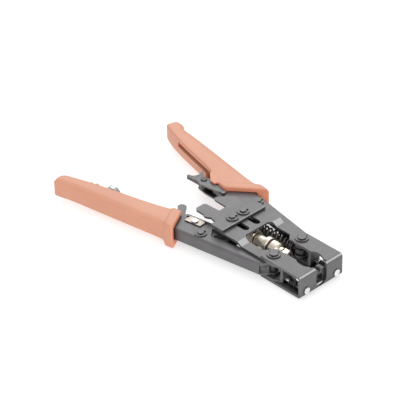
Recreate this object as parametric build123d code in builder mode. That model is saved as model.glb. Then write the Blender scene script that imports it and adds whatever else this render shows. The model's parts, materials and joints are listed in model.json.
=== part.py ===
from build123d import *
import os
from math import cos, hypot, radians, sin

# Hand tool that presses compression plugs onto coaxial cable. Two levers turn on vertical pins in a
# bent-sheet head. Links drive a slider, and with it the plunger, towards the split jaws at the front.
# +X points forward to the head, +Y is the far side, +Z is up, and the tool lies on z = 0.

os.makedirs("parts", exist_ok=True)

# Driving dimensions, in millimetres and degrees
FRONT_X = 102.34  # front face of the head
MID = 10.1  # height of the mid-plane above the bench
HEAD_WIDTH = 40.0
HEAD_HEIGHT = 17.0
ARM_LENGTH = 37.6  # the head's arms, back from the front face
HEAD_SHEET = 1.8
INNER_SHEET = 1.6
PIVOT_BACK = 31.1  # pivot pins, back from the front face
PIVOT_Y = 13.3
PIVOT_R = 3.0
PIVOT_FOOT_R = 4.4
PIVOT_CLIP_R = 4.7
OPEN_ANGLE = 9.8  # each lever's outer line, when open
CLOSE_ANGLE = 11.0  # turn of each lever from open to closed
FIT = 0.05  # radial play of a pin in a hole that turns on it
GAP = 0.2  # play between neighbouring sheets of different bodies

# Levels above and below the mid-plane
HEAD_OUT = HEAD_HEIGHT / 2
HEAD_IN = HEAD_OUT - HEAD_SHEET
LOW_OUT = HEAD_IN
LOW_IN = LOW_OUT - INNER_SHEET
RAISED_OUT = HEAD_OUT + 0.4
RAISED_IN = RAISED_OUT - INNER_SHEET
LEVER_OUT = LOW_IN - GAP
LEVER_IN = LEVER_OUT - INNER_SHEET
LINK_OUT = LEVER_IN - 0.3
LINK_IN = 1.3
BLOCK_OUT = LEVER_OUT - 0.1
BLOCK_IN = LINK_OUT + 0.3

# Levers: distances s along the lever from its pivot and w outward from its line
LINK_PIN_S = 57.2
LINK_PIN_W = 4.3
LINK_PIN_R = 2.25
LINK_FOOT_R = 3.6
LINK_CLIP_R = 4.2
LINK_FOOT_T = 1.1
WEB_W = 10.2
BEND_R = 2.0
GRIP_OUT_W = 13.4
GRIP_TOP = 7.8
GRIP_BOTTOM = -6.4
FLANGE_TOP = 8.5
FLANGE_BOTTOM = -MID

# Slider and plunger
SLIDER_PIN_BACK = 78.9
SLIDER_PIN_Y = 5.2
SLIDER_PIN_R = 2.25
SLIDER_FOOT_R = 4.2
SLIDER_CLIP_R = 4.4
SLOT_R = 2.5
SLOT_FRONT_BACK = 65.8
BAR_BACK = 84.0
BAR_FRONT_BACK = 72.8
BAR_WIDTH = 41.4
BAR_LOW = RAISED_OUT + GAP
BAR_HIGH = BAR_LOW + 1.9
BLOCK_FRONT_BACK = 69.5
BLOCK_REAR_BACK = 84.5
THREAD_R = 2.5
SPRING_Y = 11.2
SPRING_R = 3.15
SPRING_WIRE_R = 0.85
SPRING_TURNS = 7.5

# Lock tab's half thickness, and the spare adapters' sockets in the near grip: (s, radius)
TAB_HALF = 0.8
ADAPTER_SOCKETS = ((141.0, 4.6), (155.5, 3.4))

# Latch: its pin on the far lever, and how far its nose reaches from that pin
LATCH_PIN = (100.0, -11.9)
LATCH_PIN_R = 1.5
LATCH_REACH = 9.2

# Jaws
JAW_PIN_Y = 14.2
JAW_PIN_Z = -4.0
JAW_PIN_R = 1.55
CABLE_Z = -2.1
CABLE_R = 3.3
CABLE_SLOT_R = 5.0

# E-clips: thickness, height of the pin's cap with its groove, groove's share of the pin, mouth's turn
CLIP_T = 0.8
CLIP_CAP = 0.9
CLIP_SEAT = 0.78
CLIP_FACING = 60

SIDES = ((-1, "near"), (1, "far"))


def back(distance):
    """X of a point at a distance behind the head's front face."""
    return FRONT_X - distance


def lever_plane(side):
    """Plane of one lever: x runs back along the lever, y points outward."""
    turn = radians(OPEN_ANGLE)
    return Plane(
        origin=(back(PIVOT_BACK), side * PIVOT_Y, MID),
        x_dir=(-cos(turn), side * sin(turn), 0),
        z_dir=(0, 0, -side),
    )


def inward_plane(side, s):
    """Plane across one lever's line at a distance along it, looking towards the other lever."""
    turn = radians(OPEN_ANGLE)
    return Plane(
        origin=(*on_lever(side, s, 0), MID),
        x_dir=(0, 0, 1),
        z_dir=(-sin(turn), -side * cos(turn), 0),
    )


def on_lever(side, s, w):
    """X and Y of a point given along and across one lever."""
    spot = lever_plane(side).from_local_coords((s, w, 0))
    return spot.X, spot.Y


def seen_when_closed(s, w):
    """A point of the far lever's plane in the near lever's plane, with the tool closed."""
    turn = radians(OPEN_ANGLE - CLOSE_ANGLE)
    along = s * cos(turn) - w * sin(turn)
    inward = -2 * PIVOT_Y - s * sin(turn) - w * cos(turn)
    return along * cos(turn) + inward * sin(turn), inward * cos(turn) - along * sin(turn)


def disc(spot, low, high, radius):
    """Upright cylinder between two levels, added to the part in hand."""
    with Locations((*spot, MID + low)):
        Cylinder(radius, high - low, align=(Align.CENTER, Align.CENTER, Align.MIN))


def rod(start, end, radius, y=0.0, level=0.0, mode=Mode.ADD):
    """Cylinder along X between two distances behind the front face, added to the part in hand."""
    with Locations(Location((back(end), y, MID + level), (0, 90, 0))):
        Cylinder(radius, end - start, align=(Align.CENTER, Align.CENTER, Align.MIN), mode=mode)


def clipped_pin(spot, foot, foot_r, foot_t, seat, radius):
    """Pin with a flat foot, and a groove for its clip just above a seat level, added to the part in hand."""
    disc(spot, foot, foot + foot_t, foot_r)
    disc(spot, foot + foot_t, seat, radius)
    disc(spot, seat, seat + CLIP_T + 0.1, CLIP_SEAT * radius)
    disc(spot, seat + CLIP_T + 0.1, seat + CLIP_T + CLIP_CAP, radius)


def e_clips(spots, seat, outer, pin_r):
    """E-clips in the grooves of a set of equal pins, all turned the same way."""
    with BuildPart() as clips:
        with BuildSketch(Plane.XY.offset(MID + seat + 0.05)):
            with Locations(*[Location((*spot, 0), (0, 0, CLIP_FACING)) for spot in spots]):
                Circle(outer)
                Circle(CLIP_SEAT * pin_r, mode=Mode.SUBTRACT)
                with Locations((outer / 2 + 0.5, 0)):
                    Rectangle(outer + 1.0, 1.2 * pin_r, mode=Mode.SUBTRACT)
                with PolarLocations(1.05 * pin_r, 2, start_angle=115, angular_range=260):
                    Circle(0.32 * pin_r, mode=Mode.SUBTRACT)
        extrude(amount=CLIP_T)
    return clips.part


def save(part, name):
    """Label a finished piece and write its STEP file."""
    part.label = name
    export_step(part, f"parts/{name}.step")


# Head bracket: front wall with a cable slot, and a pair of arms above and below
HEAD_BEND_R = 2.2
WINDOW_HALF = 6.9
PLUG_SEAT_BACK = 11.0
PLUG_SEAT_R = 9.0
PIVOT_BOSS_R = 6.5
with BuildPart() as head_bracket:
    with BuildSketch(Plane.XZ):
        with BuildLine():
            FilletPolyline(
                (back(ARM_LENGTH), MID + HEAD_OUT),
                (back(0), MID + HEAD_OUT),
                (back(0), MID - HEAD_OUT),
                (back(ARM_LENGTH), MID - HEAD_OUT),
                radius=HEAD_BEND_R,
            )
            Line((back(ARM_LENGTH), MID - HEAD_OUT), (back(ARM_LENGTH), MID - HEAD_IN))
            FilletPolyline(
                (back(ARM_LENGTH), MID - HEAD_IN),
                (back(HEAD_SHEET), MID - HEAD_IN),
                (back(HEAD_SHEET), MID + HEAD_IN),
                (back(ARM_LENGTH), MID + HEAD_IN),
                radius=0.5,
            )
            Line((back(ARM_LENGTH), MID + HEAD_IN), (back(ARM_LENGTH), MID + HEAD_OUT))
        make_face()
    extrude(amount=HEAD_WIDTH / 2, both=True)
    with BuildSketch():
        # window between the arms, wider round the plug's seat
        with Locations((back((HEAD_SHEET + ARM_LENGTH) / 2), 0)):
            Rectangle(ARM_LENGTH - HEAD_SHEET, 2 * WINDOW_HALF)
        with Locations((back(PLUG_SEAT_BACK), 0)):
            Circle(PLUG_SEAT_R)
        # rear inner corners run round the pivot pins
        for side in (-1, 1):
            with Locations((back(ARM_LENGTH - 3.3), side * 8.3)):
                Rectangle(6.6, 9.8)
            with Locations((back(PIVOT_BACK), side * PIVOT_Y)):
                Circle(PIVOT_BOSS_R, mode=Mode.SUBTRACT)
    extrude(amount=2 * MID, mode=Mode.SUBTRACT)
    with BuildSketch(Plane.YZ.offset(back(HEAD_SHEET) - 0.1)):
        with Locations((0, MID + CABLE_Z)):
            Circle(CABLE_SLOT_R)
        with Locations((0, MID + CABLE_Z + 6)):
            Rectangle(2 * CABLE_SLOT_R, 12)
        with Locations(*[(side * JAW_PIN_Y, MID + JAW_PIN_Z) for side in (-1, 1)]):
            Circle(JAW_PIN_R)
    extrude(amount=HEAD_SHEET + 0.2, mode=Mode.SUBTRACT)
    with BuildSketch():
        with Locations(*[(back(PIVOT_BACK), side * PIVOT_Y) for side in (-1, 1)]):
            Circle(PIVOT_R)
    extrude(amount=2 * MID, mode=Mode.SUBTRACT)
    fillet(head_bracket.edges().filter_by(Axis.Z).group_by(Axis.X)[0].group_by(Axis.Y)[0], 1.5)
    fillet(head_bracket.edges().filter_by(Axis.Z).group_by(Axis.X)[0].group_by(Axis.Y)[-1], 1.5)
save(head_bracket.part, "head_bracket")

# Inner bracket: window plates above and below, joined by a cross wall behind the jaws
CROSS_WALL_BACK = 18.4
RAMP_FRONT_BACK = 54.4
RAMP_REAR_BACK = 58.4
PRONG_BACK = 107.0
NOTCH_BACK = 93.6
PLATE_HALF_WIDTH = 20.2
with BuildPart() as inner_bracket:
    with BuildSketch(Plane.XZ):
        for sign in (1, -1):
            with BuildLine():
                Polyline(
                    (back(CROSS_WALL_BACK), MID),
                    (back(CROSS_WALL_BACK), MID + sign * LOW_OUT),
                    (back(RAMP_FRONT_BACK), MID + sign * LOW_OUT),
                    (back(RAMP_REAR_BACK), MID + sign * RAISED_OUT),
                    (back(PRONG_BACK), MID + sign * RAISED_OUT),
                    (back(PRONG_BACK), MID + sign * RAISED_IN),
                    (back(RAMP_REAR_BACK + 0.5), MID + sign * RAISED_IN),
                    (back(RAMP_FRONT_BACK + 0.5), MID + sign * LOW_IN),
                    (back(CROSS_WALL_BACK + INNER_SHEET), MID + sign * LOW_IN),
                    (back(CROSS_WALL_BACK + INNER_SHEET), MID),
                    close=True,
                )
            make_face()
    extrude(amount=PLATE_HALF_WIDTH, both=True)
    fillet(inner_bracket.edges().filter_by(Axis.Y).group_by(Axis.X)[-1], 1.4)
    with BuildSketch():
        # plan of the plates, each prong with its own outline
        with BuildLine():
            Polyline(
                (back(CROSS_WALL_BACK), 17.5),
                (back(26), PLATE_HALF_WIDTH),
                (back(80), PLATE_HALF_WIDTH),
                (back(84), 14.8),
                (back(91), 14.1),
                (back(94), 15.0),
                (back(97), 16.2),
                (back(99.9), 15.0),
                (back(106.2), 8.0),
                (back(PRONG_BACK), 6.8),
                (back(PRONG_BACK), 5.0),
                (back(105.2), 3.9),
                (back(NOTCH_BACK), 3.35),
                (back(NOTCH_BACK), -3.35),
                (back(105.2), -3.9),
                (back(PRONG_BACK), -5.2),
                (back(PRONG_BACK), -12.2),
                (back(105.2), -13.6),
                (back(98.6), -13.8),
                (back(95.6), -15.1),
                (back(93.2), -14.3),
                (back(91.6), -13.0),
                (back(84), -14.8),
                (back(80), -PLATE_HALF_WIDTH),
                (back(26), -PLATE_HALF_WIDTH),
                (back(CROSS_WALL_BACK), -17.5),
                close=True,
            )
        make_face()
        # window for the plunger and the return spring
        with BuildLine():
            Polyline(
                (back(60.3), 10.7),
                (back(57.6), 13.0),
                (back(42), 13.0),
                (back(38), 8.5),
                (back(17), 8.5),
                (back(17), -8.5),
                (back(38), -8.5),
                (back(42), -13.0),
                (back(57.6), -13.0),
                (back(60.3), -10.7),
                close=True,
            )
        make_face(mode=Mode.SUBTRACT)
        # guide slots for the slider pins
        slot_rear_back = SLIDER_PIN_BACK + 0.6
        slot_middle = back((SLOT_FRONT_BACK + slot_rear_back) / 2)
        with Locations(*[(slot_middle, side * SLIDER_PIN_Y) for side in (-1, 1)]):
            SlotCenterToCenter(slot_rear_back - SLOT_FRONT_BACK, 2 * SLOT_R, mode=Mode.SUBTRACT)
        with Locations(*[(back(PIVOT_BACK), side * PIVOT_Y) for side in (-1, 1)]):
            Circle(PIVOT_R, mode=Mode.SUBTRACT)
    extrude(amount=2 * MID, mode=Mode.INTERSECT)
    with BuildSketch(Plane.YZ.offset(back(CROSS_WALL_BACK + INNER_SHEET) - 0.1)):
        with Locations(*[(side * JAW_PIN_Y, MID + JAW_PIN_Z) for side in (-1, 1)]):
            Circle(JAW_PIN_R)
    extrude(amount=INNER_SHEET + 0.2, mode=Mode.SUBTRACT)
save(inner_bracket.part, "inner_bracket")

# Pivot pins with their clips, one pair for the two levers
PIVOT_SPOTS = [(back(PIVOT_BACK), side * PIVOT_Y) for side in (-1, 1)]
with BuildPart() as pivot_pins:
    for spot in PIVOT_SPOTS:
        clipped_pin(spot, -MID, PIVOT_FOOT_R, MID - HEAD_OUT, HEAD_OUT, PIVOT_R)
save(pivot_pins.part, "pivot_pins")
save(e_clips(PIVOT_SPOTS, HEAD_OUT, PIVOT_CLIP_R, PIVOT_R), "pivot_clips")

# Split jaws: each turns outward on its own pin and carries half of the cable hole
JAW_FRONT_BACK = HEAD_SHEET + 0.3
JAW_THICKNESS = 4.8
JAW_BOSS_R = 2.4
for side, name in SIDES:
    with BuildPart() as jaw:
        with BuildSketch(Plane.YZ.offset(back(JAW_FRONT_BACK + JAW_THICKNESS))):
            with BuildLine():
                Polyline(
                    (side * 0.15, MID - 6.3),
                    (side * JAW_PIN_Y, MID - 6.4),
                    (side * JAW_PIN_Y, MID - 1.6),
                    (side * 7.0, MID - 0.8),
                    (side * 6.4, MID + 2.6),
                    (side * 4.2, MID + 4.6),
                    (side * 1.6, MID + 4.6),
                    (side * 0.15, MID + 2.4),
                    close=True,
                )
            make_face()
            with Locations((side * JAW_PIN_Y, MID + JAW_PIN_Z)):
                Circle(JAW_BOSS_R)
                Circle(JAW_PIN_R + FIT, mode=Mode.SUBTRACT)
            with Locations((0, MID + CABLE_Z)):
                Circle(CABLE_R, mode=Mode.SUBTRACT)
        extrude(amount=JAW_THICKNESS)
    save(jaw.part, f"jaw_{name}")

JAW_HEAD_T = 0.9
JAW_HEAD_R = 2.5
with BuildPart() as jaw_pins:
    for side in (-1, 1):
        rod(0, CROSS_WALL_BACK + INNER_SHEET, JAW_PIN_R, side * JAW_PIN_Y, JAW_PIN_Z)
        rod(-JAW_HEAD_T, 0, JAW_HEAD_R, side * JAW_PIN_Y, JAW_PIN_Z)
save(jaw_pins.part, "jaw_pins")

JAW_SPRING_R = 2.1
JAW_SPRING_WIRE_R = 0.4
JAW_SPRING_FRONT_BACK = 8.0
JAW_SPRING_LENGTH = 7.0
JAW_SPRING_PITCH = 1.4
for side, name in SIDES:
    with BuildPart() as jaw_spring:
        with BuildLine() as coil:
            Helix(
                pitch=JAW_SPRING_PITCH,
                height=JAW_SPRING_LENGTH,
                radius=JAW_SPRING_R,
                center=(back(JAW_SPRING_FRONT_BACK), side * JAW_PIN_Y, MID + JAW_PIN_Z),
                direction=(-1, 0, 0),
            )
        with BuildSketch(Plane(origin=coil.line @ 0, z_dir=coil.line % 0)):
            Circle(JAW_SPRING_WIRE_R)
        sweep(path=coil.line)
        # leg that leans on the head's upper arm
        leg_back = JAW_SPRING_FRONT_BACK + JAW_SPRING_PITCH * (0.5 + 0.25 * side)
        with BuildSketch(Plane.XY.offset(MID + JAW_PIN_Z)):
            with Locations((back(leg_back), side * (JAW_PIN_Y + JAW_SPRING_R))):
                Circle(JAW_SPRING_WIRE_R)
        extrude(amount=HEAD_IN - JAW_PIN_Z - 0.2)
    save(jaw_spring.part, f"jaw_spring_{name}")

# Slider: a yoke between the plates, a cross bar on top and two pins through the guide slots
SLIDER_SPOTS = [(back(SLIDER_PIN_BACK), side * SLIDER_PIN_Y) for side in (-1, 1)]
BLOCK_HALF_WIDTH = 9.5
SPRING_BOSS_R = 2.1
with BuildPart() as slider_block:
    with BuildSketch():
        with BuildLine():
            Polyline(
                (back(BLOCK_FRONT_BACK), 15.0),
                (back(BLOCK_FRONT_BACK), -BLOCK_HALF_WIDTH),
                (back(BLOCK_REAR_BACK), -BLOCK_HALF_WIDTH),
                (back(BLOCK_REAR_BACK), BLOCK_HALF_WIDTH),
                (back(BLOCK_FRONT_BACK + 4.0), BLOCK_HALF_WIDTH),
                (back(BLOCK_FRONT_BACK + 2.5), 15.0),
                close=True,
            )
        make_face()
    extrude(amount=MID + BLOCK_OUT)
    with BuildSketch():
        with Locations((back(77), 0)):
            Rectangle(60, 60)
    extrude(amount=MID - BLOCK_OUT, mode=Mode.SUBTRACT)
    # gap that the links swing in
    with BuildSketch(Plane.XY.offset(MID - BLOCK_IN)):
        with Locations((back(BLOCK_FRONT_BACK + 2.5 + 10), 0)):
            Rectangle(20, 40)
    extrude(amount=2 * BLOCK_IN, mode=Mode.SUBTRACT)
    rod(BLOCK_FRONT_BACK - 3, BLOCK_FRONT_BACK, SPRING_BOSS_R, SPRING_Y)
    rod(BLOCK_FRONT_BACK - 1, BLOCK_FRONT_BACK + 3, THREAD_R, mode=Mode.SUBTRACT)
    with BuildSketch():
        with Locations(*SLIDER_SPOTS):
            Circle(SLIDER_PIN_R)
    extrude(amount=2 * MID, mode=Mode.SUBTRACT)
save(slider_block.part, "slider_block")

with BuildPart() as slider_bar:
    with BuildSketch(Plane.XY.offset(MID + BAR_LOW)):
        with Locations((back((BAR_BACK + BAR_FRONT_BACK) / 2), 0)):
            Rectangle(BAR_BACK - BAR_FRONT_BACK, BAR_WIDTH)
        with Locations(*SLIDER_SPOTS):
            Circle(SLIDER_PIN_R, mode=Mode.SUBTRACT)
    extrude(amount=BAR_HIGH - BAR_LOW)
    chamfer(slider_bar.edges().filter_by(Axis.Z).group_by(SortBy.LENGTH)[-1].group_by(Axis.Y)[0], 0.6)
    chamfer(slider_bar.faces().sort_by(Axis.Z)[-1].outer_wire().edges(), 0.3)
save(slider_bar.part, "slider_bar")

with BuildPart() as slider_pins:
    for spot in SLIDER_SPOTS:
        clipped_pin(spot, -MID + 0.1, SLIDER_FOOT_R, MID - RAISED_OUT - 0.2, BAR_HIGH, SLIDER_PIN_R)
save(slider_pins.part, "slider_pins")
save(e_clips(SLIDER_SPOTS, BAR_HIGH, SLIDER_CLIP_R, SLIDER_PIN_R), "slider_clips")

# Plunger: threaded rod in the slider, lock nut, flanged body with a ring, and a bright tip
NUT_REAR_BACK = 66.0
NUT_CHAMFER = 1.0
BODY_REAR_BACK = 59.8
NUT_FRONT_BACK = BODY_REAR_BACK + 0.3
FLANGE_REAR_BACK = 51.0
FLANGE_FRONT_BACK = 47.0
GROOVE_FRONT_BACK = 45.6
BODY_FRONT_BACK = 38.5
TIP_FRONT_BACK = 30.0
FLANGE_R = 6.5
GROOVE_R = 5.2
TIP_R = 4.2
with BuildPart() as plunger_rod:
    rod(49, BLOCK_FRONT_BACK + 2.5, THREAD_R)
    chamfer(plunger_rod.faces().sort_by(Axis.X)[-1].edges(), 0.4)
save(plunger_rod.part, "plunger_rod")

with BuildPart() as plunger_locknut:
    with BuildSketch(Plane.YZ.offset(back(NUT_REAR_BACK))):
        with Locations((0, MID)):
            RegularPolygon(radius=FLANGE_R, side_count=6)
            Circle(THREAD_R + FIT, mode=Mode.SUBTRACT)
    extrude(amount=NUT_REAR_BACK - NUT_FRONT_BACK)
    # corners turned off at both ends
    with BuildSketch(Plane.XZ):
        for end, depth in ((NUT_REAR_BACK, -NUT_CHAMFER), (NUT_FRONT_BACK, NUT_CHAMFER)):
            with BuildLine():
                Polyline(
                    (back(end), MID + FLANGE_R - 0.6),
                    (back(end + depth), MID + FLANGE_R + 0.1),
                    (back(end), MID + FLANGE_R + 0.1),
                    close=True,
                )
            make_face()
    revolve(axis=Axis((0, 0, MID), (1, 0, 0)), mode=Mode.SUBTRACT)
save(plunger_locknut.part, "plunger_locknut")

with BuildPart() as plunger_body:
    with BuildSketch(Plane.XZ):
        with BuildLine():
            Polyline(
                (back(BODY_REAR_BACK), MID + THREAD_R + FIT),
                (back(BODY_REAR_BACK), MID + 4.1),
                (back(BODY_REAR_BACK - 0.4), MID + 4.5),
                (back(FLANGE_REAR_BACK + 0.8), MID + 4.5),
                (back(FLANGE_REAR_BACK), MID + FLANGE_R - 0.6),
                (back(FLANGE_REAR_BACK - 0.6), MID + FLANGE_R),
                (back(FLANGE_FRONT_BACK + 0.4), MID + FLANGE_R),
                (back(FLANGE_FRONT_BACK), MID + FLANGE_R - 0.4),
                (back(FLANGE_FRONT_BACK), MID + GROOVE_R - 0.6),
                (back(GROOVE_FRONT_BACK), MID + GROOVE_R - 0.6),
                (back(GROOVE_FRONT_BACK), MID + 5.7),
                (back(GROOVE_FRONT_BACK - 0.4), MID + 6.0),
                (back(BODY_FRONT_BACK + 1.4), MID + 5.8),
                (back(BODY_FRONT_BACK), MID + 4.7),
                (back(BODY_FRONT_BACK), MID + 2.0),
                (back(BODY_FRONT_BACK + 4.5), MID + 2.0),
                (back(BODY_FRONT_BACK + 4.5), MID + THREAD_R + FIT),
                close=True,
            )
        make_face()
    revolve(axis=Axis((0, 0, MID), (1, 0, 0)))
save(plunger_body.part, "plunger_body")

RING_R = (FLANGE_FRONT_BACK - GROOVE_FRONT_BACK) / 2
with BuildPart() as plunger_ring:
    with BuildSketch(Plane.XZ):
        with Locations((back(GROOVE_FRONT_BACK + RING_R), MID + GROOVE_R - 0.6 + RING_R)):
            Circle(RING_R)
    revolve(axis=Axis((0, 0, MID), (1, 0, 0)))
save(plunger_ring.part, "plunger_ring")

with BuildPart() as plunger_tip:
    rod(TIP_FRONT_BACK, BODY_FRONT_BACK, TIP_R)
    chamfer(plunger_tip.edges().sort_by(Axis.X)[-1], 0.5)
    rod(BODY_FRONT_BACK, BODY_FRONT_BACK + 4.0, 2.0)
    rod(TIP_FRONT_BACK, TIP_FRONT_BACK + 7.0, 2.4, mode=Mode.SUBTRACT)
    # spanner flats near the front
    with BuildSketch(Plane.XY.offset(MID + 3.4)):
        with Locations((back(TIP_FRONT_BACK + 3.6), 0)):
            Rectangle(4.2, 12)
    extrude(amount=4, mode=Mode.SUBTRACT)
save(plunger_tip.part, "plunger_tip")

# Return spring on a guide rod that hangs on the far pivot pin
SPRING_FRONT_BACK = 37.0
COLLAR_FRONT_BACK = 36.0
COLLAR_R = 3.6
GUIDE_R = 1.7
GUIDE_REAR_BACK = 53.0
EYE_R = 4.5
EYE_THICKNESS = 3.0
with BuildPart() as guide_rod:
    with BuildSketch(Plane.XY.offset(MID - EYE_THICKNESS / 2)):
        with Locations(PIVOT_SPOTS[1]):
            Circle(EYE_R)
            Circle(PIVOT_R, mode=Mode.SUBTRACT)
    extrude(amount=EYE_THICKNESS)
    rod(34.6, COLLAR_FRONT_BACK, 1.4, SPRING_Y)
    rod(COLLAR_FRONT_BACK, SPRING_FRONT_BACK - 0.1, COLLAR_R, SPRING_Y)
    rod(SPRING_FRONT_BACK - 0.1, GUIDE_REAR_BACK, GUIDE_R, SPRING_Y)
    chamfer(guide_rod.faces().sort_by(Axis.X)[0].edges(), 0.5)
save(guide_rod.part, "guide_rod")

SPRING_LENGTH = BLOCK_FRONT_BACK - SPRING_FRONT_BACK - 2 * SPRING_WIRE_R - 0.3
with BuildPart() as return_spring:
    with BuildLine() as coil:
        Helix(
            pitch=SPRING_LENGTH / SPRING_TURNS,
            height=SPRING_LENGTH,
            radius=SPRING_R,
            center=(back(SPRING_FRONT_BACK + SPRING_WIRE_R + 0.1), SPRING_Y, MID),
            direction=(-1, 0, 0),
        )
    with BuildSketch(Plane(origin=coil.line @ 0, z_dir=coil.line % 0)):
        Circle(SPRING_WIRE_R)
    sweep(path=coil.line)
save(return_spring.part, "return_spring")

# Links from the levers to the slider pins. The slider end is slotted, so the link has play there.
LINK_SLOT = 1.5
LINK_WIDTH = 7.6
for side, name in SIDES:
    lever_spot = on_lever(side, LINK_PIN_S, LINK_PIN_W)
    slider_spot = (back(SLIDER_PIN_BACK), side * SLIDER_PIN_Y)
    run = (slider_spot[0] - lever_spot[0], slider_spot[1] - lever_spot[1])
    link_length = hypot(*run)
    with BuildPart() as link:
        for low in (-LINK_OUT, LINK_IN):
            with BuildSketch(Plane(origin=(*lever_spot, MID + low), x_dir=(*run, 0), z_dir=(0, 0, 1))):
                with Locations((link_length / 2, 0)):
                    SlotCenterToCenter(link_length, LINK_WIDTH)
                Circle(LINK_PIN_R + FIT, mode=Mode.SUBTRACT)
                with Locations((link_length - LINK_SLOT / 2, 0)):
                    SlotCenterToCenter(LINK_SLOT, 2 * (SLIDER_PIN_R + 0.4), mode=Mode.SUBTRACT)
            extrude(amount=LINK_OUT - LINK_IN)
    save(link.part, f"link_{name}")

# Levers: channels with a web outside and a wall above and below
NECK_W = 2.5
RIVET_SPOT = {"near": (68.4, -4.2), "far": (78.4, -10.4)}
RIVET_R = 1.2
SMALL_HOLE = (76.4, -7.0)
SMALL_HOLE_R = 0.9
WIDE_W = -9.6
LEVER_TAIL_S = {"near": 133.0, "far": 157.0}
WEB_START_S = 5.0
# the far lever's upper wall has an ear for the latch
EAR = [(70.0, WIDE_W + 1), (75.5, -12.4), (80.3, -12.6), (81.0, -10.5), (79.0, WIDE_W + 2)]
for side, name in SIDES:
    tail = LEVER_TAIL_S[name]
    with BuildPart() as lever:
        with BuildSketch(lever_plane(side)):
            Circle(4.8)
            with BuildLine():
                Polyline(
                    (0, -4.8),
                    (4.5, NECK_W),
                    (50.0, NECK_W),
                    (57.0, WIDE_W),
                    (78.6, WIDE_W),
                    (80.8, -4.4),
                    (100.0, -0.3),
                    (tail, 2.6),
                    (tail, WEB_W),
                    (WEB_START_S, WEB_W),
                    (-1.5, 4.6),
                    close=True,
                )
            make_face()
        extrude(amount=LEVER_OUT, both=True)
        fillet(lever.edges().filter_by(Axis.Z).sort_by_distance((*on_lever(side, 57.0, WIDE_W), MID))[0], 3)
        # bends along the outside of the web
        bend = lever.faces().filter_by(Plane.XY).edges()
        bend = bend.sort_by_distance((*on_lever(side, tail / 2, WEB_W), MID))[0:2]
        fillet(bend, BEND_R)
        with BuildSketch(lever_plane(side)):
            with Locations((tail / 2, WEB_W - INNER_SHEET - 20)):
                Rectangle(tail + 40, 40)
        extrude(amount=LEVER_IN, both=True, mode=Mode.SUBTRACT)
        if name == "far":
            with BuildSketch(lever_plane(side).offset(-LEVER_OUT)):
                with BuildLine():
                    Polyline(*EAR, close=True)
                make_face()
            extrude(amount=INNER_SHEET)
        else:
            with BuildSketch(lever_plane(side)):
                with Locations(SMALL_HOLE):
                    Circle(SMALL_HOLE_R)
            extrude(amount=LEVER_OUT + 1, mode=Mode.SUBTRACT)
        # the web stops short of the head
        with BuildSketch(lever_plane(side)):
            with Locations((WEB_START_S - 10, WEB_W - 0.8)):
                Rectangle(20, 2.4)
        extrude(amount=LEVER_IN, both=True, mode=Mode.SUBTRACT)
        with BuildSketch(lever_plane(side)):
            Circle(PIVOT_R + FIT)
            with Locations((LINK_PIN_S, LINK_PIN_W)):
                Circle(LINK_PIN_R)
            with Locations(RIVET_SPOT[name]):
                Circle(RIVET_R)
        extrude(amount=LEVER_OUT + 1, both=True, mode=Mode.SUBTRACT)
    save(lever.part, f"lever_{name}")

    pin_spot = on_lever(side, LINK_PIN_S, LINK_PIN_W)
    with BuildPart() as link_pin:
        clipped_pin(pin_spot, -LEVER_OUT - LINK_FOOT_T, LINK_FOOT_R, LINK_FOOT_T, LEVER_OUT, LINK_PIN_R)
    save(link_pin.part, f"link_pin_{name}")
    save(e_clips([pin_spot], LEVER_OUT, LINK_CLIP_R, LINK_PIN_R), f"link_clip_{name}")

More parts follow.
